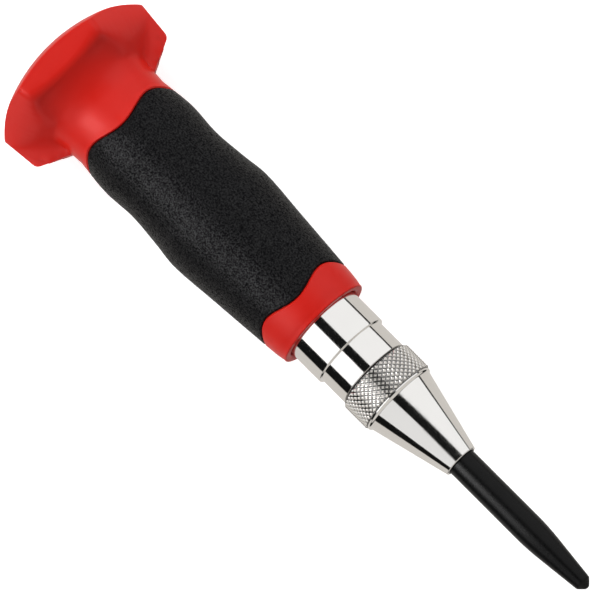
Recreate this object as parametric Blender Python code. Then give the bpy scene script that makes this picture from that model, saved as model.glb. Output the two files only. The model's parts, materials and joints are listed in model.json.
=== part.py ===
"""Automatic center punch with a moulded palm handle, lying at rest on a bench.

Every piece is turned round the tool's own axis, with heights measured from the
tip of the point towards the palm head. The tool frame is then laid down, so
that the point looks along +X and one flat of the head rests on the bench.
"""

import math

import bmesh
import bpy

# Clearances
seat_gap = 0.00025
run_gap = 0.00025
seam_gap = 0.0002

# Punch point
point_radius = 0.00315
tip_blunt = 0.00045
tip_radius = 0.00175
taper_length = 0.0129
point_exposed = 0.0358
shank_radius = 0.0019
shank_length = 0.0042

# Plunger that carries the point
flange_ledge = 0.0014
flange_length = 0.003
boss_radius = 0.0032
boss_length = 0.004
cup_depth = 0.0014

# Nose
nose_rim = 0.0004
nose_guide_length = 0.0085
nose_cone_length = 0.0174
lip_length = 0.0012
lip_step = 0.0003
cone_step = 0.0005
knurl_length = 0.0061
knurl_proud = 0.0001
knurl_depth = 0.0003
knurl_count = 40
knurl_rows = 11

# Barrel
barrel_bore = 0.0063
barrel_wall = 0.0024
thread_wall = 0.0013
spigot_wall = 0.0014
bush_ledge = 0.0009
barrel_step = 0.00055
barrel_lower_length = 0.0069
barrel_exposed = 0.0075
spigot_length = 0.0057
chamber_length = 0.0128
edge_chamfer = 0.0004

# Trip pin, its bush and its spring
pin_radius = 0.0014
pin_collar_radius = 0.0027
pin_collar_height = 0.0022
pin_collar_length = 0.0012
pin_shoulder_radius = 0.0024
pin_shoulder_length = 0.0025
bush_length = 0.0053
bush_flare = 0.0012
washer_length = 0.0006
trip_tilt = math.radians(2.0)
trip_wire = 0.0007
trip_coils = 6
stroke = 0.011

# Hammer and main spring
hammer_length = 0.024
pilot_length = 0.003
pilot_clearance = 0.0006
main_wire = 0.0016
main_coils = 8
main_spring_length = 0.0332
main_spring_clearance = 0.0005

# Tension pieces in the palm head
feed = 0.00375
stop_gap = 0.00075
button_length = 0.0078
plate_length = 0.002
insert_length = 0.01
insert_wall = 0.00175
insert_groove = 0.0005
insert_drop = 0.00225

# Rubber rings
nose_ring_section = 0.00035
handle_ring_section = 0.00045
handle_ring_height = 0.0032

# Handle
core_wall = 0.00145
mouth_chamfer = 0.0007
lip_round = 0.0007
palm_thickness = 0.00708
neck_drop = 0.02078
neck_swell = 0.0012
low_wave = 0.0065
high_wave = 0.002
wave_height = 0.001
wave_lobes = 4

# Rubber and collar swell over the core, along the grip from mouth to neck
swell_stations = [
    (0.000, 0.00010),
    (0.030, 0.00050),
    (0.133, 0.00105),
    (0.330, 0.00195),
    (0.512, 0.00272),
    (0.617, 0.00210),
    (0.742, 0.00155),
    (0.868, 0.00195),
    (1.000, neck_swell),
]

# Palm head
head_apothem = 0.0171
head_corner = 0.0016
head_sides = 6
dome_radius = 0.0336
dome_front = 0.045
rim_round = 0.0003
foot_round = 0.0009
flat_drop = 0.00883
rest_drop = 0.00723

# Hollow flanks under the head, which turn into a wing at its two side corners
flank_drop = 0.01823
flank_swell = 0.00015
flank_steepness = 0.7
corner_lift = 0.0006
wing_start = 0.42
wing_full = 0.94
wing_half = 0.0012
wing_slope = 0.49
wing_steepness = 0.36
flank_steps = 10

# Facets round the axis
handle_facets = 60
barrel_facets = 40
inner_facets = 24
ring_facets = 8
coil_points = 10

# Radii that follow from the sizes above
guide_radius = point_radius + run_gap
flange_radius = point_radius + flange_ledge
nose_chamber_radius = flange_radius + run_gap
nose_face_radius = guide_radius + nose_rim
chamber_bore = barrel_bore - bush_ledge
spigot_radius = chamber_bore + spigot_wall
thread_radius = barrel_bore + thread_wall
barrel_radius = barrel_bore + barrel_wall
lower_radius = barrel_radius - barrel_step
knurl_radius = barrel_radius + knurl_proud
lip_radius = knurl_radius - lip_step
cone_radius = lip_radius - cone_step
sliding_radius = barrel_bore - run_gap
bush_hole = pin_shoulder_radius + run_gap
hammer_hole = pin_radius + run_gap
main_mean_radius = barrel_bore - main_spring_clearance - main_wire / 2
pilot_radius = main_mean_radius - main_wire / 2 - pilot_clearance
trip_top_radius = chamber_bore - run_gap - trip_wire / 2
trip_foot_radius = pin_collar_radius - trip_wire / 2
handle_bore = barrel_radius + run_gap
core_radius = handle_bore + core_wall
grip_bore = core_radius + run_gap
neck_radius = core_radius + neck_swell
flank_radius = neck_radius + flank_swell
insert_bore = thread_radius + run_gap
insert_radius = insert_bore + insert_wall

# Heights above the tip, from the point up to the palm
nose_face = point_exposed
guide_top = nose_face + nose_guide_length
cone_top = nose_face + nose_cone_length
knurl_base = cone_top + lip_length
nose_top = knurl_base + knurl_length
plunger_base = guide_top + seat_gap
flange_top = plunger_base + flange_length
plunger_top = flange_top + boss_length
cup_floor = plunger_top - cup_depth
pin_foot = cup_floor + seat_gap
barrel_base = nose_top + seat_gap
spigot_base = barrel_base - spigot_length
barrel_step_height = barrel_base + barrel_lower_length
mouth = barrel_step_height + barrel_exposed
bush_seat = barrel_base + chamber_length
bush_base = bush_seat + seat_gap
bush_top = bush_base + bush_length
hammer_base = bush_top + seat_gap
hammer_top = hammer_base + hammer_length
main_spring_base = hammer_top + seat_gap
main_spring_top = main_spring_base + main_spring_length
button_base = main_spring_top + seat_gap
button_top = button_base + button_length
plate_base = button_top + seat_gap
plate_top = plate_base + plate_length
handle_bore_end = plate_top + seat_gap
barrel_top = plate_base - feed - stop_gap
insert_top = plate_base - insert_drop
insert_base = insert_top - insert_length
thread_base = insert_base - feed - stop_gap
apex = handle_bore_end + palm_thickness
neck = apex - neck_drop
foot_height = apex - flat_drop
rest_height = apex - rest_drop
flank_foot = apex - flank_drop
pin_length = hammer_base - seat_gap - pin_foot
washer_base = pin_collar_height + pin_collar_length + seat_gap
washer_top = washer_base + washer_length
trip_spring_base = pin_foot + washer_top + seat_gap
trip_spring_top = bush_seat - seat_gap / 2


# Palm head and grip outlines
def swell(fraction):
    """Height of the moulding over the core at a share of the grip's length, on a smooth curve."""
    spans = list(zip(swell_stations, swell_stations[1:]))
    index = 0
    while index < len(spans) - 1 and fraction > spans[index][1][0]:
        index += 1
    (start, low), (end, high) = spans[index]
    before = swell_stations[max(index - 1, 0)]
    after = swell_stations[min(index + 2, len(swell_stations) - 1)]
    width = end - start
    leave = (high - before[1]) / (end - before[0]) * width
    arrive = (after[1] - low) / (after[0] - start) * width
    t = (fraction - start) / width
    rise = t * t * (3 - 2 * t)
    return low + (high - low) * rise + leave * t * (1 - t) ** 2 - arrive * t * t * (1 - t)


def grip_radius(height):
    """Outer radius of the handle between its mouth and its neck."""
    return core_radius + swell((height - mouth) / (neck - mouth))


def rest_slope():
    """Slope at which the handle lies: on a flat of the head and on the fullest part of the grip."""
    samples = 200
    slopes = []
    for step in range(samples):
        height = mouth + (neck - mouth) * step / samples
        slopes.append((head_apothem - grip_radius(height)) / (rest_height - height))
    slopes.append((head_apothem - knurl_radius) / (rest_height - knurl_base))
    return min(slopes)


lie_slope = rest_slope()
lie_angle = math.atan(lie_slope)


def head_radius(angle, height):
    """Distance from the axis to the rounded hexagon, whose flats lean by the rest slope."""
    apothem = head_apothem + (height - rest_height) * lie_slope
    side = 2 * math.pi / head_sides
    off_flat = abs((angle + side / 2) % side - side / 2)
    straight = (apothem - head_corner) * math.tan(side / 2)
    if off_flat <= math.atan2(straight, apothem):
        return apothem / math.cos(off_flat)
    reach = (apothem - head_corner) / math.cos(side / 2)
    off_corner = side / 2 - off_flat
    return reach * math.cos(off_corner) + math.sqrt(head_corner**2 - (reach * math.sin(off_corner)) ** 2)


def sag(offset, bend):
    """Drop of an arc at a distance from its top."""
    return bend - math.sqrt(bend**2 - offset**2)


def dome_height(radius, angle):
    """Height of the dome, which is flatter from front to back than from side to side."""
    return apex - sag(radius * math.cos(angle), dome_front) - sag(radius * math.sin(angle), dome_radius)


def hollow_curve(out, reach, low, steepness):
    """Height on a hollow curve that leaves a wall upright and reaches the foot of the flats at a lean."""
    share = math.sqrt(max(0.0, out / reach))
    bend = foot_height - reach * steepness
    return foot_height * share**2 + bend * 2 * share * (1 - share) + low * (1 - share) ** 2


def flare_height(radius, angle):
    """Height of the flare round the neck, bent to meet the foot of the flats."""
    reach = head_radius(angle, foot_height) - flank_radius
    front_reach = head_radius(0, foot_height) - flank_radius
    lift = corner_lift * (reach - front_reach) / front_reach
    spare = hollow_curve(reach, front_reach, flank_foot, flank_steepness) - foot_height - lift
    out = max(0.0, radius - flank_radius)
    return hollow_curve(out, front_reach, flank_foot, flank_steepness) - spare * (out / reach) ** 3


def wing_height(front, across):
    """Height beside a wing, a fin that runs out from the neck to a side corner of the head."""
    apothem = head_radius(0, foot_height)
    edge = max(min(apothem, 2 * apothem - across * math.sqrt(3)), run_gap)
    half = min(wing_half, edge / 2)
    root = math.sqrt(max(flank_radius**2 - across**2, half**2))
    low = flank_foot + max(0.0, across - flank_radius) * wing_slope
    return hollow_curve(min(front, edge) - root, edge - root, low, wing_steepness)


def flank_height(radius, angle):
    """Height of the head's underside, hollow over the neck's width and turning into the wings."""
    front = abs(radius * math.cos(angle))
    across = abs(radius * math.sin(angle))
    wing = min(1.0, max(0.0, (across / radius - wing_start) / (wing_full - wing_start)))
    flare = flare_height(radius, angle)
    return flare + (wing_height(front, across) - flare) * wing * wing * (3 - 2 * wing)


def flank_end(angle):
    """Radius at which the underside meets the flats."""
    radius = head_radius(angle, foot_height)
    for _ in range(4):
        radius = head_radius(angle, flank_height(radius, angle))
    return radius


def flat_foot(angle):
    return flank_height(flank_end(angle), angle)


def flat_top(angle):
    return dome_height(head_radius(angle, rest_height), angle) - rim_round


def low_edge(angle):
    return mouth + low_wave - wave_height * math.cos(wave_lobes * angle)


def high_edge(angle):
    return neck - high_wave - wave_height * math.cos(wave_lobes * angle)


# Mesh helpers
def value_at(value, angle):
    return value(angle) if callable(value) else value


def turned_mesh(name, rings, facets):
    """Skin (radius, height) rings round the axis; a zero radius closes an end, else the skin closes on itself.

    A radius or a height is a number, or a function of the angle round the axis.
    """
    bm = bmesh.new()
    loops = []
    for radius, height in rings:
        if radius == 0:
            loops.append([bm.verts.new((0, 0, height))] * facets)
            continue
        loop = []
        for step in range(facets):
            angle = 2 * math.pi * step / facets
            reach = value_at(radius, angle)
            corner = (reach * math.cos(angle), reach * math.sin(angle), value_at(height, angle))
            loop.append(bm.verts.new(corner))
        loops.append(loop)
    pairs = list(zip(loops, loops[1:]))
    if rings[0][0] != 0:
        pairs.append((loops[-1], loops[0]))
    for first, second in pairs:
        for step in range(facets):
            ahead = (step + 1) % facets
            corners = [first[step], first[ahead], second[ahead], second[step]]
            bm.faces.new(list(dict.fromkeys(corners)))
    bmesh.ops.triangulate(bm, faces=bm.faces[:], quad_method="SHORT_EDGE")
    bmesh.ops.recalc_face_normals(bm, faces=bm.faces[:])
    mesh = bpy.data.meshes.new(name)
    bm.to_mesh(mesh)
    bm.free()
    mesh.shade_smooth()
    mesh.set_sharp_from_angle(angle=math.radians(30))
    return mesh


def finish(name, colour, roughness, metallic):
    material = bpy.data.materials.new(name)
    material.use_nodes = True
    shader = material.node_tree.nodes["Principled BSDF"]
    shader.inputs["Base Color"].default_value = (*colour, 1.0)
    shader.inputs["Roughness"].default_value = roughness
    shader.inputs["Metallic"].default_value = metallic
    return material


def add_piece(name, data, material, parent):
    data.materials.append(material)
    piece = bpy.data.objects.new(name, data)
    piece.parent = parent
    bpy.context.collection.objects.link(piece)
    return piece


def add_empty(name, parent=None):
    empty = bpy.data.objects.new(name, None)
    empty.parent = parent
    bpy.context.collection.objects.link(empty)
    return empty


def ring_section(centre_radius, centre_height, section):
    """Round section of a rubber ring, as (radius, height) rings."""
    rings = []
    for step in range(ring_facets):
        angle = 2 * math.pi * step / ring_facets
        rings.append((centre_radius + section * math.cos(angle), centre_height + section * math.sin(angle)))
    return rings


def coil_path(base, top, wire, coils, foot_radius, top_radius):
    """Points along a spring's wire, from its foot up to its top."""
    count = coils * coil_points
    low = base + wire / 2
    rise = top - base - wire
    points = []
    for step in range(count + 1):
        share = step / count
        angle = 2 * math.pi * coils * share
        radius = foot_radius + (top_radius - foot_radius) * share
        points.append((radius * math.cos(angle), radius * math.sin(angle), low + rise * share))
    return points


def least_gap(points, wire):
    """Smallest clear distance between neighbouring coils of a spring."""
    pairs = zip(points, points[coil_points:])
    return min(math.dist(near, far) for near, far in pairs) - wire


def coil_curve(name, points, wire):
    curve = bpy.data.curves.new(name, "CURVE")
    curve.dimensions = "3D"
    curve.bevel_depth = wire / 2
    curve.bevel_resolution = 1
    curve.use_fill_caps = True
    spline = curve.splines.new("POLY")
    spline.points.add(len(points) - 1)
    for point, place in zip(spline.points, points):
        point.co = (*place, 1.0)
    print(name, "least gap between coils", round(least_gap(points, wire) * 1000, 2), "mm")
    return curve


# Handle pieces
def handle_core():
    """Red moulding: domed hexagonal palm head, neck, core under the rubber and lower collar."""
    rings = [(0, apex)]
    for share in (0.25, 0.5, 0.75):
        rings.append(dome_ring(share, 0.0))
    rings.append(dome_ring(1.0, rim_round))
    rings.append(flat_ring(flat_top, 0.0))
    rings.append(flat_ring(flat_foot, foot_round))
    rings.append(foot_ring())
    for step in range(flank_steps - 1, 0, -1):
        rings.append(flank_ring(step / flank_steps))
    rings.append((flank_radius, flank_foot))
    rings.append((neck_radius, neck))
    rings += [
        (lambda angle: grip_radius(high_edge(angle) + seam_gap / 2), lambda angle: high_edge(angle) + seam_gap / 2),
        (core_radius, lambda angle: high_edge(angle) + seam_gap / 2),
        (core_radius, lambda angle: low_edge(angle) - seam_gap / 2),
        (lambda angle: grip_radius(low_edge(angle) - seam_gap / 2), lambda angle: low_edge(angle) - seam_gap / 2),
    ]
    for height in (mouth + low_wave / 2, mouth + lip_round * 2.5, mouth + lip_round):
        rings.append((grip_radius(height), height))
    rings += [
        (grip_radius(mouth + lip_round) - lip_round * 0.3, mouth + lip_round * 0.3),
        (grip_radius(mouth + lip_round) - lip_round, mouth),
        (handle_bore + mouth_chamfer, mouth),
        (handle_bore, mouth + mouth_chamfer),
    ]
    groove_radius = barrel_radius + run_gap + 2 * handle_ring_section + run_gap
    groove_half = handle_ring_section + seat_gap
    ring_height = mouth + handle_ring_height
    rings += [
        (handle_bore, ring_height - groove_half),
        (groove_radius, ring_height - groove_half),
        (groove_radius, ring_height + groove_half),
        (handle_bore, ring_height + groove_half),
        (handle_bore, insert_base - seat_gap),
        (insert_radius + run_gap, insert_base - seat_gap),
        (insert_radius + run_gap, insert_top + seat_gap),
        (handle_bore, insert_top + seat_gap),
        (handle_bore, handle_bore_end),
        (0, handle_bore_end),
    ]
    return turned_mesh("handle_core", rings, handle_facets)


def dome_ring(share, inset):
    """Ring on the palm dome, at a share of the way out to the head's rim."""

    def radius(angle):
        return share * head_radius(angle, rest_height) - inset

    return radius, lambda angle: dome_height(radius(angle), angle)


def flat_ring(height_at, lift):
    """Ring on the head's flats, a little above a given edge of them."""
    return (lambda angle: head_radius(angle, height_at(angle) + lift)), (lambda angle: height_at(angle) + lift)


def foot_ring():
    """Ring in the middle of the round at the foot of the flats."""

    def radius(angle):
        return flank_end(angle) - foot_round / 4

    return radius, lambda angle: flank_height(radius(angle), angle) + foot_round / 8


def flank_ring(share):
    """Ring on the underside, at a share of the way out from the neck to the flats."""

    def radius(angle):
        return flank_radius + (flank_end(angle) - flank_radius) * share * (2 - share)

    return radius, lambda angle: flank_height(radius(angle), angle)


def rubber_grip():
    """Black sleeve moulded over the core, between the two waved edges."""
    bands = 16
    rings = []
    for step in range(bands + 1):
        rings.append(grip_ring(step / bands))
    rings.append((grip_bore, lambda angle: high_edge(angle) - seam_gap / 2))
    rings.append((grip_bore, lambda angle: low_edge(angle) + seam_gap / 2))
    return turned_mesh("rubber_grip", rings, handle_facets)


def grip_ring(share):
    def height(angle):
        low = low_edge(angle) + seam_gap / 2
        high = high_edge(angle) - seam_gap / 2
        return low + (high - low) * share

    return (lambda angle: grip_radius(height(angle))), height


def handle_insert():
    """Threaded sleeve moulded into the neck, with a groove that keys it in the plastic."""
    third = insert_length / 3
    rings = [
        (insert_bore, insert_base),
        (insert_radius, insert_base),
        (insert_radius, insert_base + third),
        (insert_radius - insert_groove, insert_base + third),
        (insert_radius - insert_groove, insert_top - third),
        (insert_radius, insert_top - third),
        (insert_radius, insert_top),
        (insert_bore, insert_top),
    ]
    return turned_mesh("handle_insert", rings, inner_facets)


def thrust_plate():
    """Steel disc that takes the main spring's push off the plastic."""
    radius = handle_bore - run_gap
    rings = [
        (0, plate_base),
        (radius, plate_base),
        (radius, plate_top - edge_chamfer),
        (radius - edge_chamfer, plate_top),
        (0, plate_top),
    ]
    return turned_mesh("thrust_plate", rings, inner_facets)


def handle_o_ring():
    """Friction ring in the handle's mouth that holds the setting."""
    centre = barrel_radius + run_gap + handle_ring_section
    rings = ring_section(centre, mouth + handle_ring_height, handle_ring_section)
    return turned_mesh("handle_o_ring", rings, barrel_facets)


# Tension and striking pieces
def spring_button():
    """Upper seat of the main spring, with a pilot inside the coil."""
    rings = [
        (0, button_base - pilot_length),
        (pilot_radius - edge_chamfer, button_base - pilot_length),
        (pilot_radius, button_base - pilot_length + edge_chamfer),
        (pilot_radius, button_base),
        (sliding_radius, button_base),
        (sliding_radius, button_top - edge_chamfer),
        (sliding_radius - edge_chamfer, button_top),
        (0, button_top),
    ]
    return turned_mesh("spring_button", rings, inner_facets)


def hammer():
    """Sliding striker: a blind hole below for the trip pin, and a pilot above for the spring."""
    hole_top = hammer_base + stroke + stop_gap
    rings = [
        (0, hole_top),
        (hammer_hole, hole_top),
        (hammer_hole, hammer_base),
        (sliding_radius - edge_chamfer, hammer_base),
        (sliding_radius, hammer_base + edge_chamfer),
        (sliding_radius, hammer_top - edge_chamfer),
        (sliding_radius - edge_chamfer, hammer_top),
        (pilot_radius, hammer_top),
        (pilot_radius, hammer_top + pilot_length - edge_chamfer),
        (pilot_radius - edge_chamfer, hammer_top + pilot_length),
        (0, hammer_top + pilot_length),
    ]
    return turned_mesh("hammer", rings, inner_facets)


def main_spring():
    path = coil_path(
        main_spring_base, main_spring_top, main_wire, main_coils, main_mean_radius, main_mean_radius
    )
    return coil_curve("main_spring", path, main_wire)


def centring_bush():
    """Hard bush whose flared hole brings the trip pin into line at the end of the stroke."""
    rings = [
        (bush_hole + bush_flare, bush_base),
        (sliding_radius, bush_base),
        (sliding_radius, bush_top),
        (bush_hole, bush_top),
        (bush_hole, bush_base + bush_flare),
    ]
    return turned_mesh("centring_bush", rings, inner_facets)


def trip_pin():
    """Pin that lifts the hammer, drawn from its foot: ball foot, spring collar, centring shoulder, flat top."""
    shoulder_base = bush_base - stroke - pin_foot + seat_gap
    shoulder_top = shoulder_base + pin_shoulder_length
    shoulder_rise = pin_shoulder_radius - pin_radius
    collar_top = pin_collar_height + pin_collar_length
    rings = [
        (0, 0),
        (pin_radius * 0.7, pin_radius * 0.3),
        (pin_radius, pin_radius),
        (pin_radius, pin_collar_height),
        (pin_collar_radius, pin_collar_height),
        (pin_collar_radius, collar_top),
        (pin_radius, collar_top),
        (pin_radius, shoulder_base - shoulder_rise),
        (pin_shoulder_radius, shoulder_base),
        (pin_shoulder_radius, shoulder_top),
        (pin_radius, shoulder_top + shoulder_rise),
        (pin_radius, pin_length),
        (0, pin_length),
    ]
    return turned_mesh("trip_pin", rings, inner_facets)


def spring_washer():
    """Washer between the pin's collar and the trip spring, drawn from the pin's foot."""
    rings = [
        (pin_radius + run_gap, washer_base),
        (pin_collar_radius + run_gap, washer_base),
        (pin_collar_radius + run_gap, washer_top),
        (pin_radius + run_gap, washer_top),
    ]
    return turned_mesh("spring_washer", rings, inner_facets)


def trip_spring():
    path = coil_path(
        trip_spring_base, trip_spring_top, trip_wire, trip_coils, trip_foot_radius, trip_top_radius
    )
    return coil_curve("trip_spring", path, trip_wire)


# Barrel, nose and point
def barrel():
    """Plated barrel: nose spigot, two visible diameters, long bored body and reduced thread at the top."""
    rings = [
        (chamber_bore, spigot_base),
        (spigot_radius - edge_chamfer, spigot_base),
        (spigot_radius, spigot_base + edge_chamfer),
        (spigot_radius, barrel_base),
        (lower_radius, barrel_base),
        (lower_radius, barrel_step_height - barrel_step),
        (barrel_radius, barrel_step_height),
        (barrel_radius, thread_base - (barrel_radius - thread_radius)),
        (thread_radius, thread_base),
        (thread_radius, barrel_top - edge_chamfer),
        (thread_radius - edge_chamfer, barrel_top),
        (barrel_bore, barrel_top),
        (barrel_bore, bush_seat),
        (chamber_bore, bush_seat),
    ]
    return turned_mesh("barrel", rings, barrel_facets)


def nose_cone():
    """Screwed nose: guide bore, cone, plain lip and a band of diamond knurling."""
    facets = 2 * knurl_count
    thread_bore = spigot_radius + run_gap
    pocket_radius = thread_bore + 2 * nose_ring_section + run_gap
    pocket_floor = nose_top - 2 * nose_ring_section - seat_gap
    rings = [
        (guide_radius, nose_face),
        (nose_face_radius, nose_face),
        (cone_radius, cone_top),
        (lip_radius, cone_top + lip_step),
        (lip_radius, knurl_base),
    ]
    for row in range(knurl_rows + 1):
        rings.append((knurl_row(row, facets), knurl_base + knurl_length * row / knurl_rows))
    rings += [
        (pocket_radius, nose_top),
        (pocket_radius, pocket_floor),
        (thread_bore, pocket_floor),
        (thread_bore, spigot_base - seat_gap),
        (nose_chamber_radius, spigot_base - seat_gap),
        (nose_chamber_radius, guide_top),
        (guide_radius, guide_top),
    ]
    return turned_mesh("nose_cone", rings, facets)


def knurl_row(row, facets):
    """Radius round one row of the knurling: peaks and groove crossings take turns."""

    def radius(angle):
        column = round(angle * facets / (2 * math.pi))
        return knurl_radius - knurl_depth * ((row + column) % 2)

    return radius


def nose_o_ring():
    """Rubber ring in the nose's pocket that keeps the thread from shaking loose."""
    centre = spigot_radius + run_gap + nose_ring_section
    height = nose_top - nose_ring_section - seat_gap / 2
    return turned_mesh("nose_o_ring", ring_section(centre, height, nose_ring_section), barrel_facets)


def point_plunger():
    """Flanged carrier: the point screws in below, and the trip pin stands in the cup above."""
    hole_top = plunger_base + shank_length
    rings = [
        (0, hole_top),
        (shank_radius + run_gap, hole_top),
        (shank_radius + run_gap, plunger_base),
        (flange_radius, plunger_base),
        (flange_radius, flange_top),
        (boss_radius, flange_top),
        (boss_radius, plunger_top),
        (pin_radius + run_gap, plunger_top),
        (pin_radius + run_gap, cup_floor),
        (0, cup_floor),
    ]
    return turned_mesh("point_plunger", rings, inner_facets)


def punch_point():
    """Blackened point: blunted right-angled tip, slow taper, plain shank and threaded tail."""
    shank_base = plunger_base - seat_gap
    taper_base = tip_radius - tip_blunt
    rings = [
        (0, 0),
        (tip_blunt, 0),
        (tip_radius, taper_base),
        (point_radius, taper_base + taper_length),
        (point_radius, shank_base),
        (shank_radius, shank_base),
        (shank_radius, shank_base + shank_length),
        (0, shank_base + shank_length),
    ]
    return turned_mesh("punch_point", rings, barrel_facets)


def build():
    for old in list(bpy.data.objects):
        bpy.data.objects.remove(old, do_unlink=True)

    red = finish("red_plastic", (0.62, 0.02, 0.015), 0.38, 0.0)
    black = finish("black_rubber", (0.013, 0.013, 0.014), 0.7, 0.0)
    nickel = finish("nickel_plate", (0.75, 0.74, 0.71), 0.12, 1.0)
    oxide = finish("black_oxide", (0.014, 0.014, 0.015), 0.42, 0.6)
    steel = finish("plain_steel", (0.45, 0.45, 0.46), 0.3, 1.0)
    hard = finish("hardened_steel", (0.3, 0.3, 0.31), 0.25, 1.0)
    spring = finish("spring_steel", (0.2, 0.2, 0.21), 0.35, 1.0)
    brass = finish("brass", (0.72, 0.5, 0.18), 0.3, 1.0)

    tool = add_empty("tool_axis")
    tool.rotation_euler = (0, lie_angle - math.pi / 2, 0)
    dome_reach = (apex - dome_front) * math.cos(lie_angle) + dome_front
    half_length = (dome_reach - tip_blunt * math.sin(lie_angle)) / 2
    lift = head_apothem * math.cos(lie_angle) - rest_height * math.sin(lie_angle)
    tool.location = (half_length, 0, lift)

    add_piece("handle_core", handle_core(), red, tool)
    add_piece("rubber_grip", rubber_grip(), black, tool)
    add_piece("handle_insert", handle_insert(), brass, tool)
    add_piece("thrust_plate", thrust_plate(), hard, tool)
    add_piece("handle_o_ring", handle_o_ring(), black, tool)
    add_piece("spring_button", spring_button(), steel, tool)
    add_piece("barrel", barrel(), nickel, tool)
    add_piece("centring_bush", centring_bush(), hard, tool)
    add_piece("main_spring", main_spring(), spring, tool)
    add_piece("hammer", hammer(), hard, tool)
    add_piece("trip_spring", trip_spring(), spring, tool)
    add_piece("nose_cone", nose_cone(), nickel, tool)
    add_piece("nose_o_ring", nose_o_ring(), black, tool)
    add_piece("point_plunger", point_plunger(), steel, tool)
    add_piece("punch_point", punch_point(), oxide, tool)

    pivot = add_empty("trip_pivot", tool)
    pivot.location = (0, 0, pin_foot)
    pivot.rotation_euler = (0, trip_tilt, 0)
    add_piece("trip_pin", trip_pin(), hard, pivot)
    add_piece("spring_washer", spring_washer(), steel, pivot)


build()
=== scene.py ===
"""Looks of the automatic center punch: fine surfaces, finishes, studio light and the photo's camera.

Pieces are turned round the tool's own axis, with heights measured from the tip of
the point towards the palm head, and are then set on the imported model's axis.
"""

import functools
import json
import math

import bmesh
import bpy
from mathutils import Matrix, Vector


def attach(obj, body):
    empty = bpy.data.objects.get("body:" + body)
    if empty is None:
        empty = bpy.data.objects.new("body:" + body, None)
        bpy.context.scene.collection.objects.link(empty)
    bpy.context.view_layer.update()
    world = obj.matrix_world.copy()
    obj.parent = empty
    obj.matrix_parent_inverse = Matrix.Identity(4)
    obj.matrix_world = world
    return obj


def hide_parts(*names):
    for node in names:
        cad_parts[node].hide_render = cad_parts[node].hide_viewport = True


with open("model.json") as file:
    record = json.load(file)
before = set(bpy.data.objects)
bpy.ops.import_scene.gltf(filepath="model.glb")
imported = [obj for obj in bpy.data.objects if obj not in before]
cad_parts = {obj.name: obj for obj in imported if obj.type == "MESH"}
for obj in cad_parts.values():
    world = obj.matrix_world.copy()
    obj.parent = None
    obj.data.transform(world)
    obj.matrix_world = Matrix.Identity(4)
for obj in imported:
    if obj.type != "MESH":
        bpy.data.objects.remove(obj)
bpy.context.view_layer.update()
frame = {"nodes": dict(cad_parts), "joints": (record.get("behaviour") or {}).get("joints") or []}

# Heights above the tip, in metres
TAPER_TOP = 0.0142
NOSE_FACE = 0.0358
POINT_SHOULDER = 0.0438
GUIDE_TOP = 0.0443
POINT_TAIL = 0.048
CONE_TOP = 0.0532
KNURL_BASE = 0.0538
SPIGOT_BASE = 0.05505
NOSE_TOP = 0.0605
BARREL_BASE = 0.06075
BARREL_STEP = 0.06765
BUSH_SEAT = 0.07355
MOUTH = 0.07515
THREAD_BASE = 0.12835
INSERT_BASE = 0.13285
NECK = 0.13365
FLANK_FOOT = 0.1362
BARREL_TOP = 0.1406
INSERT_TOP = 0.14285
FLAT_FOOT = 0.1456
REST_HEIGHT = 0.1472
BORE_END = 0.14735
APEX = 0.15443

# Radii
POINT_RADIUS = 0.00315
TIP_RADIUS = 0.00175
TIP_BLUNT = 0.00045
TAIL_RADIUS = 0.0019
GUIDE_RADIUS = 0.0034
NOSE_FACE_RADIUS = 0.0038
NOSE_CHAMBER = 0.0048
CONE_RADIUS = 0.0081
LIP_RADIUS = 0.0085
KNURL_RADIUS = 0.0088
SPIGOT_RADIUS = 0.0068
CHAMBER_BORE = 0.0054
BARREL_BORE = 0.0063
THREAD_RADIUS = 0.0076
LOWER_RADIUS = 0.00815
BARREL_RADIUS = 0.0087
HANDLE_BORE = 0.00895
INSERT_POCKET = 0.00985
CORE_RADIUS = 0.0104
GRIP_BORE = 0.01065
NECK_RADIUS = 0.0116
FLANK_RADIUS = 0.01175
HEAD_APOTHEM = 0.0171
HEAD_CORNER = 0.0016
DOME_RADIUS = 0.0336
DOME_FRONT = 0.045

# Rubber and collar swell over the core, along the grip from mouth to neck
SWELL = [
    (0.000, 0.00010),
    (0.030, 0.00050),
    (0.133, 0.00105),
    (0.330, 0.00195),
    (0.512, 0.00272),
    (0.617, 0.00210),
    (0.742, 0.00155),
    (0.868, 0.00195),
    (1.000, 0.00120),
]

# Gaps, edges and seams
RUN_GAP = 0.00025
SEAM_GAP = 0.0002
SEAM_ROUND = 0.00025
HIGH_BORDER = 0.0011
LOW_BORDER = 0.001
LOW_WAVE = 0.0065
HIGH_WAVE = 0.002
WAVE_HEIGHT = 0.001
WAVE_LOBES = 4
EDGE_ROUND = 0.0003
RIM_ROUND = 0.0003
LIP_ROUND = 0.0007
COLLAR_ROUND = 1.4 * LIP_ROUND
COLLAR_SHARE = 0.6
TAPER_ROUND = 0.003
MOST_OF_EDGE = 0.45

# Palm head, whose wings are stated as shares and slopes of its underside
HEAD_SIDES = 6
FOOT_ROUND = 0.0009
SIDE_ROUND = 0.006
FLANK_STEEPNESS = 0.7
CORNER_LIFT = 0.0006
WING_START = 0.4
WING_FULL = 0.8
WING_HALF = 0.0012
WING_TAPER = 0.9
WING_SLOPE = 0.49
WING_FILLET = 0.004
WING_LEAST_FILLET = 0.02
WING_STEEPNESS = 0.36

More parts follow.
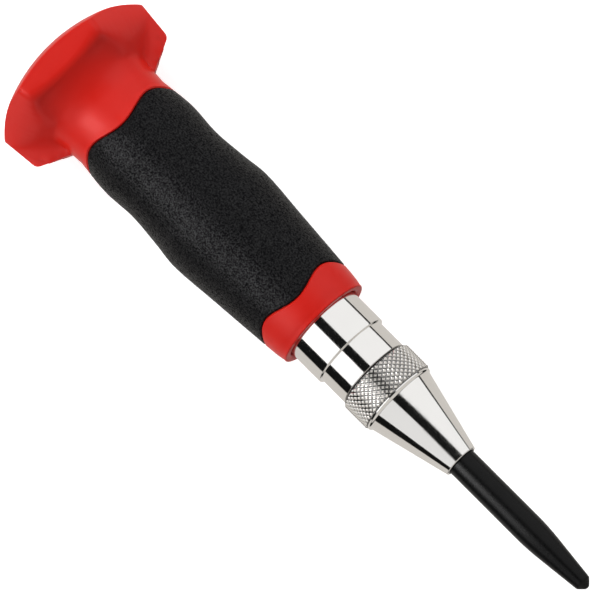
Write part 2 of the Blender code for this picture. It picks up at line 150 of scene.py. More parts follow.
# Knurling, threads and rubber rings
KNURL_COUNT = 40
KNURL_ROWS = 6
KNURL_DEPTH = 0.00045
KNURL_CROWN = 1.7
KNURL_FADE_STEPS = 3
KNURL_REACH = 1.01
NOSE_PITCH = 0.001
HANDLE_PITCH = 0.00125
THREAD_DEPTH = 0.00035
THREAD_RELIEF = 0.0004
THREAD_RUNOUT = 0.0011
THREAD_FADE = 3.0
O_RING_NOSE = 0.00035
O_RING_HANDLE = 0.00045
O_RING_HEIGHT = 0.0032

# Fineness of the meshes
HANDLE_FACETS = 192
TURNED_FACETS = 128
DOME_STEPS = 14
ROUND_STEPS = 6
FLAT_STEPS = 4
FLANK_STEPS = 30
FLANK_SAMPLES = 8 * FLANK_STEPS
FLANK_PASSES = 4
COLLAR_STEPS = 6
SLEEVE_STEPS = 60
KNURL_STEPS = 8
O_RING_STEPS = 16

# Camera and stage
VIEW_TILT = math.radians(16.4)
VIEW_HEIGHT = 0.0821
VIEW_WIDTH = 0.12
VIEW_DISTANCE = 1.5
VIEW_REACH = 20
SENSOR = 36.0
FLOOR_SIZE = 1.2
FLOOR_TONE = 0.9
FLOOR_GLOW = 0.6
WORLD_FILL = 0.15
PANEL_DISTANCE = 0.6
GLINT_DISTANCE = 0.56
TENT_RADIUS = 0.9
TENT_LENGTH = 1.5
TENT_BEYOND = 0.335
TENT_DARK = (0.006, 0.006, 0.006)
TENT_GREY = (0.64, 0.615, 0.58)
DISC_RADIUS = 0.5
TENT_STEPS = 72
DARK_FROM = -105
DARK_TO = 100

# Part of a noise's span that the finishes use
NOISE_LOW = 0.3
NOISE_HIGH = 0.7


# Tool frame
def tool_frame():
    """Matrix that lays the tool on its packed axis, with local Z from the tip to the palm."""
    joint = next(j for j in frame["joints"] if j["name"] == "barrel_turn")
    up_axis = Vector(joint["axis"]).normalized()
    across = Vector((0, 1, 0))
    front = across.cross(up_axis)
    tip = Vector(joint["pos_m"]) - up_axis * MOUTH
    turned = Matrix((front, across, up_axis)).transposed()
    return Matrix.Translation(tip) @ turned.to_4x4()


TOOL = tool_frame()
LIE_SLOPE = TOOL[2][2] / -TOOL[0][2]


# Outlines of the palm head and grip
def swell(fraction):
    """Height of the moulding over the core at a share of the grip's length, on a smooth curve."""
    spans = list(zip(SWELL, SWELL[1:]))
    index = 0
    while index < len(spans) - 1 and fraction > spans[index][1][0]:
        index += 1
    (start, low), (end, high) = spans[index]
    before = SWELL[max(index - 1, 0)]
    after = SWELL[min(index + 2, len(SWELL) - 1)]
    width = end - start
    leave = (high - before[1]) / (end - before[0]) * width
    arrive = (after[1] - low) / (after[0] - start) * width
    t = (fraction - start) / width
    rise = t * t * (3 - 2 * t)
    return low + (high - low) * rise + leave * t * (1 - t) ** 2 - arrive * t * t * (1 - t)


def grip_radius(height):
    return CORE_RADIUS + swell((height - MOUTH) / (NECK - MOUTH))


def head_radius(angle, height):
    """Distance from the axis to the rounded hexagon, whose flats lean by the rest slope."""
    apothem = HEAD_APOTHEM + (height - REST_HEIGHT) * LIE_SLOPE
    side = 2 * math.pi / HEAD_SIDES
    off_flat = abs((angle + side / 2) % side - side / 2)
    straight = (apothem - HEAD_CORNER) * math.tan(side / 2)
    if off_flat <= math.atan2(straight, apothem):
        return apothem / math.cos(off_flat)
    reach = (apothem - HEAD_CORNER) / math.cos(side / 2)
    off_corner = side / 2 - off_flat
    beside = reach * math.sin(off_corner)
    return reach * math.cos(off_corner) + math.sqrt(HEAD_CORNER**2 - beside**2)


def sag(offset, bend):
    """Drop of an arc at a distance from its top."""
    return bend - math.sqrt(bend**2 - offset**2)


def dome_height(radius, angle):
    """Height of the dome, which is flatter from front to back than from side to side."""
    front_drop = sag(radius * math.cos(angle), DOME_FRONT)
    side_drop = sag(radius * math.sin(angle), DOME_RADIUS)
    return APEX - front_drop - side_drop


def hollow_curve(out, reach, low, steepness):
    """Height on a hollow curve that leaves a wall upright and leans at the foot of the flats."""
    share = math.sqrt(max(0.0, out / reach))
    bend = FLAT_FOOT - reach * steepness
    return FLAT_FOOT * share**2 + bend * 2 * share * (1 - share) + low * (1 - share) ** 2


def flare_height(radius, angle):
    """Height of the flare round the neck, bent to meet the foot of the flats."""
    reach = head_radius(angle, FLAT_FOOT) - FLANK_RADIUS
    front_reach = head_radius(0, FLAT_FOOT) - FLANK_RADIUS
    lift = CORNER_LIFT * (reach - front_reach) / front_reach
    spare = hollow_curve(reach, front_reach, FLANK_FOOT, FLANK_STEEPNESS) - FLAT_FOOT - lift
    out = max(0.0, radius - FLANK_RADIUS)
    return hollow_curve(out, front_reach, FLANK_FOOT, FLANK_STEEPNESS) - spare * (out / reach) ** 3


def wing_height(front, across):
    """Height beside a wing, a fin that runs out from the neck to a side corner of the head."""
    apothem = head_radius(0, FLAT_FOOT)
    corner = 2 * apothem / math.sqrt(3)
    edge = max(min(apothem, (corner - across) * math.sqrt(3)), EDGE_ROUND)
    out = max(0.0, across - FLANK_RADIUS)
    taper = min(1.0, out / (corner - FLANK_RADIUS))
    half = min(WING_HALF * (1 - WING_TAPER * taper), edge / 2)
    low = FLANK_FOOT + out * WING_SLOPE
    return hollow_curve(min(front, edge) - half, edge - half, low, WING_STEEPNESS)


def flank_height(radius, angle):
    """Height of the head's underside: the flare and the wings, joined with a fillet."""
    front = abs(radius * math.cos(angle))
    across = abs(radius * math.sin(angle))
    flare = flare_height(radius, angle)
    fin = wing_height(front, across)
    share = max(0.0, radius - FLANK_RADIUS) / (head_radius(angle, FLAT_FOOT) - FLANK_RADIUS)
    fillet = WING_FILLET * max(WING_LEAST_FILLET, 4 * share * (1 - share))
    overlap = max(0.0, 1 - abs(flare - fin) / fillet)
    joined = min(flare, fin) - overlap**2 * fillet / 4
    wing = min(1.0, max(0.0, (across / radius - WING_START) / (WING_FULL - WING_START)))
    return flare + (joined - flare) * wing**2 * (3 - 2 * wing)


@functools.cache
def flank_profile(angle):
    """Evenly spaced (radius, height) points under the head, from the neck to the foot of the flats."""
    end = head_radius(angle, FLAT_FOOT)
    for _ in range(FLANK_PASSES):
        end = head_radius(angle, flank_height(end, angle))
    points = []
    for step in range(FLANK_SAMPLES + 1):
        radius = FLANK_RADIUS + (end - FLANK_RADIUS) * step / FLANK_SAMPLES
        points.append(Vector((radius, flank_height(radius, angle))))
    lengths = [0.0]
    for first, second in zip(points, points[1:]):
        lengths.append(lengths[-1] + (second - first).length)
    profile = []
    index = 0
    for step in range(FLANK_STEPS + 1):
        wanted = lengths[-1] * step / FLANK_STEPS
        while index < FLANK_SAMPLES - 1 and lengths[index + 1] < wanted:
            index += 1
        share = (wanted - lengths[index]) / (lengths[index + 1] - lengths[index])
        profile.append(points[index].lerp(points[index + 1], share))
    return profile


def low_edge(angle):
    return MOUTH + LOW_WAVE - WAVE_HEIGHT * math.cos(WAVE_LOBES * angle)


def high_edge(angle):
    return NECK - HIGH_WAVE - WAVE_HEIGHT * math.cos(WAVE_LOBES * angle)


# Mesh helpers
def value_at(value, angle):
    return value(angle) if callable(value) else value


def lathe(name, rings, facets, smooth_angle=35):
    """Skin (radius, height) rings round the axis.

    A zero radius closes an end. Without one at the start, the last ring joins the first.
    """
    bm = bmesh.new()
    loops = []
    for radius, height in rings:
        if radius == 0:
            loops.append([bm.verts.new((0, 0, height))] * facets)
            continue
        loop = []
        for step in range(facets):
            angle = 2 * math.pi * step / facets
            reach = value_at(radius, angle)
            place = (reach * math.cos(angle), reach * math.sin(angle), value_at(height, angle))
            loop.append(bm.verts.new(place))
        loops.append(loop)
    pairs = list(zip(loops, loops[1:]))
    if rings[0][0] != 0:
        pairs.append((loops[-1], loops[0]))
    for first, second in pairs:
        for step in range(facets):
            ahead = (step + 1) % facets
            corners = [first[step], first[ahead], second[ahead], second[step]]
            bm.faces.new(list(dict.fromkeys(corners)))
    bmesh.ops.recalc_face_normals(bm, faces=bm.faces[:])
    mesh = bpy.data.meshes.new(name)
    bm.to_mesh(mesh)
    bm.free()
    mesh.shade_smooth()
    mesh.set_sharp_from_angle(angle=math.radians(smooth_angle))
    return mesh


def rounded(corners, steps=4):
    """Turn (radius, height, rounding) corners into rings, with each corner rounded off."""
    rings = []
    for index, (radius, height, rounding) in enumerate(corners):
        here = Vector((radius, height))
        if rounding == 0 or index in (0, len(corners) - 1):
            rings.append((radius, height))
            continue
        back = Vector(corners[index - 1][:2]) - here
        ahead = Vector(corners[index + 1][:2]) - here
        reach = min(rounding, back.length * MOST_OF_EDGE, ahead.length * MOST_OF_EDGE)
        start = here + back.normalized() * reach
        end = here + ahead.normalized() * reach
        for step in range(steps + 1):
            t = step / steps
            point = start * (1 - t) ** 2 + here * 2 * t * (1 - t) + end * t**2
            rings.append((point.x, point.y))
    return rings


def thread_rings(radius, start, end, pitch, samples=8):
    """Rings of a right-handed screw thread that fades out at both ends."""
    count = round((end - start) / pitch * samples)
    rings = []
    for step in range(count + 1):
        height = start + (end - start) * step / count
        fade = min(1.0, THREAD_FADE * step / samples, THREAD_FADE * (count - step) / samples)
        rings.append((thread_radius(radius, height / pitch, THREAD_DEPTH * fade), height))
    return rings


def thread_radius(radius, turns, depth):
    def at(angle):
        phase = (turns - angle / (2 * math.pi)) % 1.0
        return radius - depth * abs(2 * phase - 1)

    return at


def add_piece(mesh, body, node, material):
    """Set a mesh on the tool's axis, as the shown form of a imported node."""
    mesh.transform(TOOL)
    mesh.materials.append(material)
    piece = bpy.data.objects.new(mesh.name, mesh)
    bpy.context.scene.collection.objects.link(piece)
    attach(piece, body)
    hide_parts(node)
    return piece


# Handle
def foot_round(angle):
    """Reach of the round at the foot of the flats, wider beside the wings than in front."""
    return FOOT_ROUND + SIDE_ROUND * math.sin(angle) ** 2 * abs(math.cos(angle))


def below_foot(angle):
    """Place where the round at the foot of the flats ends on the underside."""
    profile = flank_profile(angle)
    index = FLANK_STEPS
    while (profile[index] - profile[-1]).length < foot_round(angle):
        index -= 1
    return profile[index]


def flank_ring(share):
    def place(angle):
        profile = flank_profile(angle)
        at = share * profile.index(below_foot(angle))
        low = int(at)
        return profile[low].lerp(profile[low + 1], at - low)

    return (lambda angle: place(angle).x), (lambda angle: place(angle).y)


def dome_ring(share):
    def radius(angle):
        return share * (head_radius(angle, REST_HEIGHT) - RIM_ROUND)

    return radius, lambda angle: dome_height(radius(angle), angle)


def arc_ring(start, corner, end, t):
    """Ring on a round between two surfaces; each place is a (radius, height) point for an angle."""

    def place(angle):
        return start(angle) * (1 - t) ** 2 + corner(angle) * 2 * t * (1 - t) + end(angle) * t**2

    return (lambda angle: place(angle).x), (lambda angle: place(angle).y)


def on_dome(inset):
    def place(angle):
        radius = head_radius(angle, REST_HEIGHT) - inset
        return Vector((radius, dome_height(radius, angle)))

    return place


def on_flat(height_at):
    def place(angle):
        height = height_at(angle)
        return Vector((head_radius(angle, height), height))

    return place


def flat_top(angle):
    return on_dome(0.0)(angle).y - RIM_ROUND


def flat_foot(angle):
    return flank_profile(angle)[-1].y


def flat_ring(share):
    """Ring on the flats, from above the round at their foot at 0 to below the rim at 1."""

    def height(angle):
        low = flat_foot(angle) + foot_round(angle)
        return low + (flat_top(angle) - low) * share

    return (lambda angle: head_radius(angle, height(angle))), height


def moulded_ring(edge, offset, sink):
    """Ring that runs along a waved edge at an offset in height, sunk below the grip's outline."""

    def height(angle):
        return edge(angle) + offset

    return (lambda angle: grip_radius(height(angle)) - sink), height


def handle_mesh():
    rings = [(0, APEX)]
    for step in range(1, DOME_STEPS):
        rings.append(dome_ring(step / DOME_STEPS))
    for step in range(ROUND_STEPS + 1):
        rings.append(arc_ring(on_dome(RIM_ROUND), on_dome(0.0), on_flat(flat_top), step / ROUND_STEPS))
    for step in range(FLAT_STEPS - 1, 0, -1):
        rings.append(flat_ring(step / FLAT_STEPS))
    above_foot = on_flat(lambda angle: flat_foot(angle) + foot_round(angle))
    for step in range(ROUND_STEPS + 1):
        rings.append(arc_ring(above_foot, on_flat(flat_foot), below_foot, step / ROUND_STEPS))
    for step in range(FLANK_STEPS - 1, 0, -1):
        rings.append(flank_ring(step / FLANK_STEPS))
    rings.append((FLANK_RADIUS, FLANK_FOOT))
    rings.append((NECK_RADIUS, NECK))
    half = SEAM_GAP / 2
    for offset, sink in ((HIGH_BORDER, 0), (half + SEAM_ROUND, 0), (half, SEAM_ROUND)):
        rings.append(moulded_ring(high_edge, offset, sink))
    rings.append((CORE_RADIUS, lambda angle: high_edge(angle) + half))
    rings.append((CORE_RADIUS, lambda angle: low_edge(angle) - half))
    for offset, sink in ((-half, SEAM_ROUND), (-half - SEAM_ROUND, 0), (-LOW_BORDER, 0)):
        rings.append(moulded_ring(low_edge, offset, sink))
    for step in range(COLLAR_STEPS, 0, -1):
        share = COLLAR_SHARE * step / COLLAR_STEPS
        height = MOUTH + LIP_ROUND + (LOW_WAVE - LIP_ROUND) * share
        rings.append((grip_radius(height), height))
    lip = grip_radius(MOUTH + LIP_ROUND)
    rings += rounded(
        [
            (lip, MOUTH + LIP_ROUND, 0),
            (lip, MOUTH, COLLAR_ROUND),
            (HANDLE_BORE, MOUTH, LIP_ROUND),
            (HANDLE_BORE, MOUTH + 2 * LIP_ROUND, 0),
        ]
    )
    groove = O_RING_HANDLE + RUN_GAP
    groove_radius = HANDLE_BORE + 2 * O_RING_HANDLE + RUN_GAP
    rings += [
        (HANDLE_BORE, MOUTH + O_RING_HEIGHT - groove),
        (groove_radius, MOUTH + O_RING_HEIGHT - groove),
        (groove_radius, MOUTH + O_RING_HEIGHT + groove),
        (HANDLE_BORE, MOUTH + O_RING_HEIGHT + groove),
        (HANDLE_BORE, INSERT_BASE - RUN_GAP),
        (INSERT_POCKET, INSERT_BASE - RUN_GAP),
        (INSERT_POCKET, INSERT_TOP + RUN_GAP),
        (HANDLE_BORE, INSERT_TOP + RUN_GAP),
        (HANDLE_BORE, BORE_END),
        (0, BORE_END),
    ]
    return lathe("handle_moulding", rings, HANDLE_FACETS)


def grip_mesh():
    """Rubber sleeve with rounded lips along its two waved edges."""
    half = SEAM_GAP / 2
    rings = [
        moulded_ring(low_edge, half, SEAM_ROUND),
        moulded_ring(low_edge, half + SEAM_ROUND, 0),
    ]
    for step in range(1, SLEEVE_STEPS):
        rings.append(sleeve_ring(step / SLEEVE_STEPS))
    rings.append(moulded_ring(high_edge, -half - SEAM_ROUND, 0))
    rings.append(moulded_ring(high_edge, -half, SEAM_ROUND))
    rings.append((GRIP_BORE, lambda angle: high_edge(angle) - half))
    rings.append((GRIP_BORE, lambda angle: low_edge(angle) + half))
    return lathe("grip_sleeve", rings, HANDLE_FACETS)


def sleeve_ring(share):
    def height(angle):
        low = low_edge(angle) + 2 * SEAM_ROUND
        high = high_edge(angle) - 2 * SEAM_ROUND
        return low + (high - low) * share

    return (lambda angle: grip_radius(height(angle))), height


# Barrel, nose and point
def barrel_mesh():
    rings = [(CHAMBER_BORE, SPIGOT_BASE), (SPIGOT_RADIUS - THREAD_DEPTH, SPIGOT_BASE)]
    spigot_start = SPIGOT_BASE + THREAD_RELIEF
    rings += thread_rings(SPIGOT_RADIUS, spigot_start, BARREL_BASE - THREAD_RELIEF, NOSE_PITCH)
    rings += rounded(
        [
            (SPIGOT_RADIUS - THREAD_DEPTH, BARREL_BASE, 0),
            (LOWER_RADIUS, BARREL_BASE, EDGE_ROUND),
            (LOWER_RADIUS, BARREL_STEP - EDGE_ROUND, EDGE_ROUND),
            (BARREL_RADIUS, BARREL_STEP - EDGE_ROUND, EDGE_ROUND),
            (BARREL_RADIUS, THREAD_BASE - THREAD_RUNOUT, EDGE_ROUND),
            (THREAD_RADIUS, THREAD_BASE, 0),
        ]
    )
    thread_start = THREAD_BASE + THREAD_RELIEF
    rings += thread_rings(THREAD_RADIUS, thread_start, BARREL_TOP - THREAD_RELIEF, HANDLE_PITCH)
    rings += [
        (THREAD_RADIUS - THREAD_DEPTH, BARREL_TOP),
        (BARREL_BORE, BARREL_TOP),
        (BARREL_BORE, BUSH_SEAT),
        (CHAMBER_BORE, BUSH_SEAT),
    ]
    return lathe("barrel_tube", rings, TURNED_FACETS)


def knurl_ring(row):
    """Ring of the diamond knurling: two crossing sets of grooves with rounded tops between them."""
    rows = KNURL_ROWS * KNURL_STEPS
    fade = min(1.0, row / KNURL_FADE_STEPS, (rows - row) / KNURL_FADE_STEPS)

    def radius(angle):
        column = angle * KNURL_COUNT / (2 * math.pi)
        along = row / KNURL_STEPS
        deepest = 0.0
        for phase in (column + along, column - along):
            deepest = max(deepest, abs(2 * (phase % 1.0) - 1))
        sunk = deepest**KNURL_CROWN
        return KNURL_RADIUS - KNURL_DEPTH * (sunk + (1 - sunk) * (1 - fade))

    return radius, KNURL_BASE + (NOSE_TOP - KNURL_BASE) * row / rows


def mark_grooves(mesh):
    """Note how deep each point of the knurling lies, for the finish to paint shade into the grooves."""
    grooves = mesh.attributes.new("groove", "FLOAT", "POINT")
    for vertex, groove in zip(mesh.vertices, grooves.data):
        sunk = (KNURL_RADIUS - math.hypot(vertex.co.x, vertex.co.y)) / KNURL_DEPTH
        if KNURL_BASE < vertex.co.z < NOSE_TOP and sunk < KNURL_REACH:
            groove.value = sunk**2


def nose_mesh():
    thread_bore = SPIGOT_RADIUS + RUN_GAP
    pocket = thread_bore + 2 * O_RING_NOSE + RUN_GAP
    pocket_floor = NOSE_TOP - 2 * O_RING_NOSE - RUN_GAP
    rings = rounded(
        [
            (GUIDE_RADIUS, NOSE_FACE, 0),
            (NOSE_FACE_RADIUS, NOSE_FACE, EDGE_ROUND),
            (CONE_RADIUS, CONE_TOP, EDGE_ROUND),
            (LIP_RADIUS, CONE_TOP + EDGE_ROUND, EDGE_ROUND),
            (LIP_RADIUS, KNURL_BASE, 0),
        ]
    )
    for row in range(KNURL_ROWS * KNURL_STEPS + 1):
        rings.append(knurl_ring(row))
    rings += [
        (pocket, NOSE_TOP),
        (pocket, pocket_floor),
        (thread_bore, pocket_floor),
        (thread_bore, SPIGOT_BASE - RUN_GAP),
        (NOSE_CHAMBER, SPIGOT_BASE - RUN_GAP),
        (NOSE_CHAMBER, GUIDE_TOP),
        (GUIDE_RADIUS, GUIDE_TOP),
    ]
    mesh = lathe("nose_piece", rings, KNURL_COUNT * KNURL_STEPS)
    mark_grooves(mesh)
    return mesh


def point_mesh():
    rings = rounded(
        [
            (0, 0, 0),
            (TIP_BLUNT, 0, EDGE_ROUND),
            (TIP_RADIUS, TIP_RADIUS - TIP_BLUNT, EDGE_ROUND),
            (POINT_RADIUS, TAPER_TOP, TAPER_ROUND),
            (POINT_RADIUS, POINT_SHOULDER + RUN_GAP, EDGE_ROUND),
            (TAIL_RADIUS, POINT_SHOULDER + RUN_GAP, 0),
            (TAIL_RADIUS, POINT_TAIL, EDGE_ROUND),
            (0, POINT_TAIL, 0),
        ]
    )
    return lathe("pointed_punch", rings, TURNED_FACETS)


def o_ring_mesh(name, centre_radius, centre_height, section):
    rings = []
    for step in range(O_RING_STEPS):
        angle = 2 * math.pi * step / O_RING_STEPS
        radius = centre_radius + section * math.cos(angle)
        rings.append((radius, centre_height + section * math.sin(angle)))
    return lathe(name, rings, TURNED_FACETS)


# Finishes
def new_finish(name):
    """New material, with its node tree and its Principled shader."""
    material = bpy.data.materials.new(name)
    material.use_nodes = True
    tree = material.node_tree
    return material, tree, tree.nodes["Principled BSDF"]


def object_noise(tree, scale, detail=3.0, stretch=(1, 1, 1)):
    """Noise value in the piece's own coordinates, in grains to the metre."""
    place = tree.nodes.new("ShaderNodeTexCoord")
    mapping = tree.nodes.new("ShaderNodeMapping")
    mapping.inputs["Scale"].default_value = stretch
    noise = tree.nodes.new("ShaderNodeTexNoise")
    noise.inputs["Scale"].default_value = scale
    noise.inputs["Detail"].default_value = detail
    tree.links.new(place.outputs["Object"], mapping.inputs["Vector"])
    tree.links.new(mapping.outputs["Vector"], noise.inputs["Vector"])
    return noise.outputs["Fac"]


def ramp(tree, value, low, high):
    """Spread the middle of a noise or groove value over a range."""
    spread = tree.nodes.new("ShaderNodeMapRange")
    spread.inputs["From Min"].default_value = NOISE_LOW
    spread.inputs["From Max"].default_value = NOISE_HIGH
    spread.inputs["To Min"].default_value = low
    spread.inputs["To Max"].default_value = high
    tree.links.new(value, spread.inputs["Value"])
    return spread.outputs["Result"]


def tint(tree, value, dark, light):
    """Colour that wanders between two tones with a noise value."""
    mix = tree.nodes.new("ShaderNodeMix")
    mix.data_type = "RGBA"
    mix.inputs["A"].default_value = (*dark, 1)
    mix.inputs["B"].default_value = (*light, 1)
    tree.links.new(value, mix.inputs["Factor"])
    return mix.outputs["Result"]


def bump(tree, shader, value, distance, strength=1.0):
    node = tree.nodes.new("ShaderNodeBump")
    node.inputs["Distance"].default_value = distance
    node.inputs["Strength"].default_value = strength
    tree.links.new(value, node.inputs["Height"])
    tree.links.new(node.outputs["Normal"], shader.inputs["Normal"])


def red_plastic():
    material, tree, shader = new_finish("red_plastic_finish")
    cloud = object_noise(tree, scale=90)
    color = tint(tree, cloud, dark=(0.57, 0.0095, 0.0045), light=(0.62, 0.0115, 0.006))
    roughness = ramp(tree, object_noise(tree, scale=700), low=0.3, high=0.38)
    tree.links.new(color, shader.inputs["Base Color"])
    tree.links.new(roughness, shader.inputs["Roughness"])
    shader.inputs["Specular IOR Level"].default_value = 0.16
    bump(tree, shader, object_noise(tree, scale=5000), distance=0.00001, strength=0.25)
    return material


def black_rubber():
    """Grained rubber with a speckled gloss, whose mean is also set for a model that drops the speckle."""
    material, tree, shader = new_finish("black_rubber_finish")
    grain = object_noise(tree, scale=2600, detail=2.0)
    speckle = object_noise(tree, scale=2800, detail=1.0)
    color = tint(tree, grain, dark=(0.004, 0.004, 0.0046), light=(0.0056, 0.0056, 0.0062))
    tree.links.new(color, shader.inputs["Base Color"])
    tree.links.new(ramp(tree, grain, low=0.46, high=0.36), shader.inputs["Roughness"])
    low_gloss = -0.04
    high_gloss = 0.28
    gloss = shader.inputs["Specular IOR Level"]
    gloss.default_value = (low_gloss + high_gloss) / 2
    tree.links.new(ramp(tree, speckle, low_gloss, high_gloss), gloss)
    bump(tree, shader, grain, distance=0.00014)
    return material


def nickel_plate():
    material, tree, shader = new_finish("nickel_plate_finish")
    cloud = object_noise(tree, scale=200)
    groove = tree.nodes.new("ShaderNodeAttribute")
    groove.attribute_name = "groove"
    # Painted shade: the knurling's grooves are darkened in the base colour by their depth.
    groove_shade = tree.nodes.new("ShaderNodeMix")
    groove_shade.data_type = "RGBA"
    groove_shade.inputs["B"].default_value = (0.13, 0.125, 0.12, 1)
    plate = tint(tree, cloud, dark=(0.89, 0.875, 0.855), light=(0.93, 0.915, 0.895))
    tree.links.new(ramp(tree, groove.outputs["Fac"], low=0.0, high=0.9), groove_shade.inputs["Factor"])
    tree.links.new(plate, groove_shade.inputs["A"])
    tree.links.new(groove_shade.outputs["Result"], shader.inputs["Base Color"])
    shader.inputs["Metallic"].default_value = 1.0
    roughness = ramp(tree, object_noise(tree, scale=900), low=0.06, high=0.1)
    tree.links.new(roughness, shader.inputs["Roughness"])
    polish = object_noise(tree, scale=1500, detail=2.0, stretch=(0.3, 1, 1))
    bump(tree, shader, polish, distance=0.000004, strength=0.4)
    return material


def black_oxide():
    material, tree, shader = new_finish("black_oxide_finish")
    cloud = object_noise(tree, scale=500, detail=4.0)
    color = tint(tree, cloud, dark=(0.0018, 0.0018, 0.0019), light=(0.0032, 0.0032, 0.0033))
    tree.links.new(color, shader.inputs["Base Color"])
    shader.inputs["Specular IOR Level"].default_value = 0.16
    roughness = ramp(tree, object_noise(tree, scale=1800), low=0.26, high=0.34)
    tree.links.new(roughness, shader.inputs["Roughness"])
    marks = object_noise(tree, scale=900, detail=2.0, stretch=(6, 0.2, 0.2))
    bump(tree, shader, marks, distance=0.000006, strength=0.5)
    return material


def turned_metal(name, dark, light, roughness):
    """Bare metal of the inner pieces, with faint tool marks."""
    material, tree, shader = new_finish(name)
    marks = object_noise(tree, scale=1200, detail=3.0, stretch=(3, 0.4, 0.4))
    spread = 0.05
    tree.links.new(tint(tree, marks, dark, light), shader.inputs["Base Color"])
    shader.inputs["Metallic"].default_value = 1.0
    tree.links.new(ramp(tree, marks, roughness - spread, roughness + spread), shader.inputs["Roughness"])
    bump(tree, shader, marks, distance=0.000006, strength=0.4)
    return material


def dress_object():
    red = red_plastic()
    rubber = black_rubber()
    nickel = nickel_plate()
    oxide = black_oxide()
    add_piece(handle_mesh(), "handle", "handle_core", red)
    add_piece(grip_mesh(), "handle", "rubber_grip", rubber)
    add_piece(barrel_mesh(), "barrel", "barrel", nickel)
    add_piece(nose_mesh(), "nose", "nose_cone", nickel)
    add_piece(point_mesh(), "punch", "punch_point", oxide)
    mouth_ring = o_ring_mesh(
        "mouth_ring", HANDLE_BORE + O_RING_HANDLE, MOUTH + O_RING_HEIGHT, O_RING_HANDLE
    )
    add_piece(mouth_ring, "handle", "handle_o_ring", rubber)
    seal_height = NOSE_TOP - O_RING_NOSE - RUN_GAP / 2
    seal_ring = o_ring_mesh("seal_ring", SPIGOT_RADIUS + RUN_GAP + O_RING_NOSE, seal_height, O_RING_NOSE)
    add_piece(seal_ring, "nose_seal", "nose_o_ring", rubber)

    steel = turned_metal("plain_steel_finish", (0.5, 0.5, 0.51), (0.6, 0.6, 0.61), 0.28)
    hard = turned_metal("hardened_steel_finish", (0.34, 0.34, 0.35), (0.42, 0.42, 0.43), 0.24)
    wire = turned_metal("spring_steel_finish", (0.26, 0.26, 0.27), (0.34, 0.34, 0.35), 0.34)
    brass = turned_metal("brass_finish", (0.68, 0.46, 0.17), (0.76, 0.54, 0.22), 0.28)
    inner = {
        "handle_insert": brass,
        "thrust_plate": hard,
        "spring_button": steel,
        "main_spring": wire,
        "hammer": hard,
        "centring_bush": hard,
        "trip_pin": hard,
        "spring_washer": steel,
        "trip_spring": wire,
        "point_plunger": steel,
    }
    for name, material in inner.items():
        data = frame["nodes"][name].data
        data.materials.clear()
        data.materials.append(material)


# Studio
def add_camera():
    """Long lens at the photo's angle: from above, tilted to the point's side, tool on the diagonal."""
    toward = Vector((math.sin(VIEW_TILT), 0, math.cos(VIEW_TILT)))
    across = Vector((0, 1, 0))
    along = across.cross(toward)
    right = (along + across).normalized()
    up = (across - along).normalized()
    target = TOOL @ Vector((0, 0, VIEW_HEIGHT))
    data = bpy.data.cameras.new("photo_camera")
    data.sensor_width = SENSOR
    data.lens = SENSOR * VIEW_DISTANCE / VIEW_WIDTH
    data.clip_end = VIEW_REACH
    camera = bpy.data.objects.new("photo_camera", data)
    facing = Matrix((right, up, toward)).transposed().to_4x4()
    camera.matrix_world = Matrix.Translation(target + toward * VIEW_DISTANCE) @ facing
    bpy.context.scene.collection.objects.link(camera)
    bpy.context.scene.camera = camera


def round_axis(angle, distance, height):
    """Place at an angle round the tool's axis: 0 is straight up, and positive turns to +Y."""
    return TOOL @ Vector((distance * math.cos(angle), distance * math.sin(angle), height))


def add_softbox(name, angle, distance, shift, width, length, radiance):
    """Rectangular lamp round the tool's axis, aimed at its middle; shift moves it towards the head."""
    data = bpy.data.lights.new(name, "AREA")
    data.shape = "RECTANGLE"
    data.size = width
    data.size_y = length
    data.energy = radiance * math.pi * width * length
    lamp = bpy.data.objects.new(name, data)
    bpy.context.scene.collection.objects.link(lamp)
    place = round_axis(math.radians(angle), distance, VIEW_HEIGHT + shift)
    outward = (place - TOOL @ Vector((0, 0, VIEW_HEIGHT))).normalized()
    side = (TOOL.to_3x3() @ Vector((0, 0, 1))).cross(outward).normalized()
    along = outward.cross(side)
    facing = Matrix((side, along, outward)).transposed().to_4x4()
    lamp.matrix_world = Matrix.Translation(place) @ facing
    return lamp


def add_sheen(name, **lamp):
    """Softbox that shows in reflections and gives no other light."""
    add_softbox(name, **lamp).visible_diffuse = False


def add_wash(name, **lamp):
    """Softbox that lights the pieces and doesn't show in reflections."""
    add_softbox(name, **lamp).visible_glossy = False


def glow(name, color):
    """Flat tone of the tent, the same under any lamp."""
    material = bpy.data.materials.new(name)
    material.use_nodes = True
    tree = material.node_tree
    tree.nodes.remove(tree.nodes["Principled BSDF"])
    emission = tree.nodes.new("ShaderNodeEmission")
    emission.inputs["Color"].default_value = (*color, 1)
    tree.links.new(emission.outputs["Emission"], tree.nodes["Material Output"].inputs["Surface"])
    return material


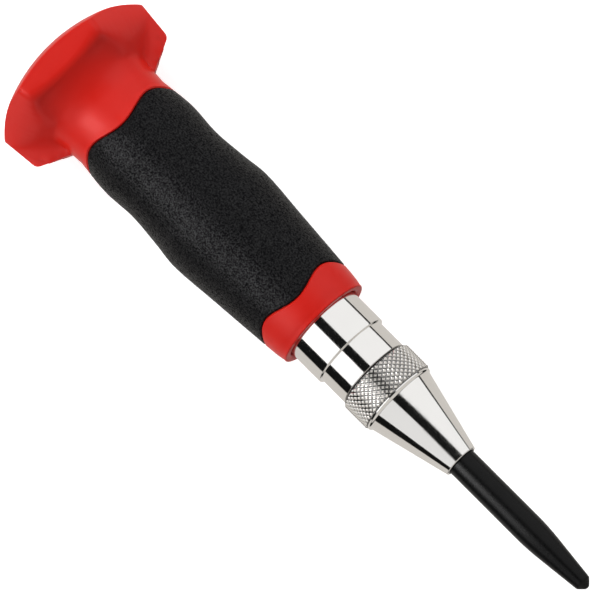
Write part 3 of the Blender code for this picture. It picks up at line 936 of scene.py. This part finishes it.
def add_tent():
    """Tent round the tool that only reflections see: dark above, warm grey below and beyond the tip."""
    bm = bmesh.new()
    behind = VIEW_HEIGHT + TENT_LENGTH
    beyond = VIEW_HEIGHT - TENT_BEYOND
    loops = []
    for radius, height in ((TENT_RADIUS, behind), (TENT_RADIUS, beyond), (DISC_RADIUS, beyond)):
        loop = []
        for step in range(TENT_STEPS):
            angle = 2 * math.pi * step / TENT_STEPS - math.pi
            loop.append(bm.verts.new(round_axis(angle, radius, height)))
        loops.append(loop)
    for step in range(TENT_STEPS):
        ahead = (step + 1) % TENT_STEPS
        middle = 360 * (step + 0.5) / TENT_STEPS - 180
        for first, second in zip(loops, loops[1:]):
            face = bm.faces.new((first[step], first[ahead], second[ahead], second[step]))
            if first is loops[0] and not DARK_FROM < middle < DARK_TO:
                face.material_index = 1
    bm.faces.new(loops[-1]).material_index = 1
    mesh = bpy.data.meshes.new("studio_tent")
    bm.to_mesh(mesh)
    bm.free()
    mesh.materials.append(glow("tent_dark", TENT_DARK))
    mesh.materials.append(glow("tent_grey", TENT_GREY))
    tent = bpy.data.objects.new("studio_tent", mesh)
    bpy.context.scene.collection.objects.link(tent)
    tent.visible_camera = False
    tent.visible_diffuse = False
    tent.visible_transmission = False
    tent.visible_shadow = False


def larger(tree, value):
    """Node that takes the larger of a value and its second input."""
    node = tree.nodes.new("ShaderNodeMath")
    node.operation = "MAXIMUM"
    tree.links.new(value, node.inputs[0])
    return node


def white_for_view(tree, other):
    """Share of white: 1 for rays from the camera, in reflections and through glass, else the given value."""
    path = tree.nodes.new("ShaderNodeLightPath")
    white = path.outputs["Is Camera Ray"]
    for ray in ("Is Glossy Ray", "Is Transmission Ray"):
        either = larger(tree, white)
        tree.links.new(path.outputs[ray], either.inputs[1])
        white = either.outputs["Value"]
    least = larger(tree, white)
    least.inputs[1].default_value = other
    return least.outputs["Value"]


def add_world():
    world = bpy.data.worlds.new("studio")
    bpy.context.scene.world = world
    world.use_nodes = True
    tree = world.node_tree
    background = tree.nodes["Background"]
    background.inputs["Color"].default_value = (1, 1, 1, 1)
    tree.links.new(white_for_view(tree, WORLD_FILL), background.inputs["Strength"])


def add_floor():
    """White floor that keeps a faint shadow."""
    bm = bmesh.new()
    bmesh.ops.create_grid(bm, x_segments=1, y_segments=1, size=FLOOR_SIZE / 2)
    mesh = bpy.data.meshes.new("floor")
    bm.to_mesh(mesh)
    bm.free()
    floor = bpy.data.objects.new("floor", mesh)
    bpy.context.scene.collection.objects.link(floor)
    material = bpy.data.materials.new("floor_white")
    material.use_nodes = True
    tree = material.node_tree
    shader = tree.nodes["Principled BSDF"]
    shader.inputs["Base Color"].default_value = (FLOOR_TONE, FLOOR_TONE, FLOOR_TONE, 1)
    shader.inputs["Roughness"].default_value = 0.9
    shader.inputs["Specular IOR Level"].default_value = 0.0
    shader.inputs["Emission Color"].default_value = (1, 1, 1, 1)
    lift = tree.nodes.new("ShaderNodeMath")
    lift.operation = "MULTIPLY"
    lift.inputs[1].default_value = FLOOR_GLOW
    tree.links.new(white_for_view(tree, 0.0), lift.inputs[0])
    tree.links.new(lift.outputs["Value"], shader.inputs["Emission Strength"])
    mesh.materials.append(material)
    floor.visible_glossy = False


def add_studio():
    add_world()
    add_floor()
    add_tent()
    far = PANEL_DISTANCE
    near = GLINT_DISTANCE
    add_sheen("key_panel", angle=-44, distance=far, shift=0.2, width=0.68, length=0.6, radiance=1.25)
    add_sheen("key_tip_panel", angle=-47.5, distance=far, shift=-0.3, width=0.76, length=0.4, radiance=0.8)
    add_sheen("fill_panel", angle=51, distance=far, shift=0.0, width=1.1, length=1.0, radiance=0.93)
    add_sheen("key_glint", angle=-44, distance=near, shift=0.18, width=0.3, length=0.16, radiance=11.0)
    add_wash("key_wash", angle=-60, distance=far, shift=0.18, width=0.6, length=1.0, radiance=1.65)
    add_wash("fill_wash", angle=60, distance=far, shift=0.18, width=0.6, length=1.0, radiance=1.54)
    add_wash("top_wash", angle=0, distance=far, shift=0.34, width=0.7, length=0.5, radiance=2.6)
    add_camera()
    bpy.context.scene.view_settings.view_transform = "Standard"


dress_object()
add_studio()
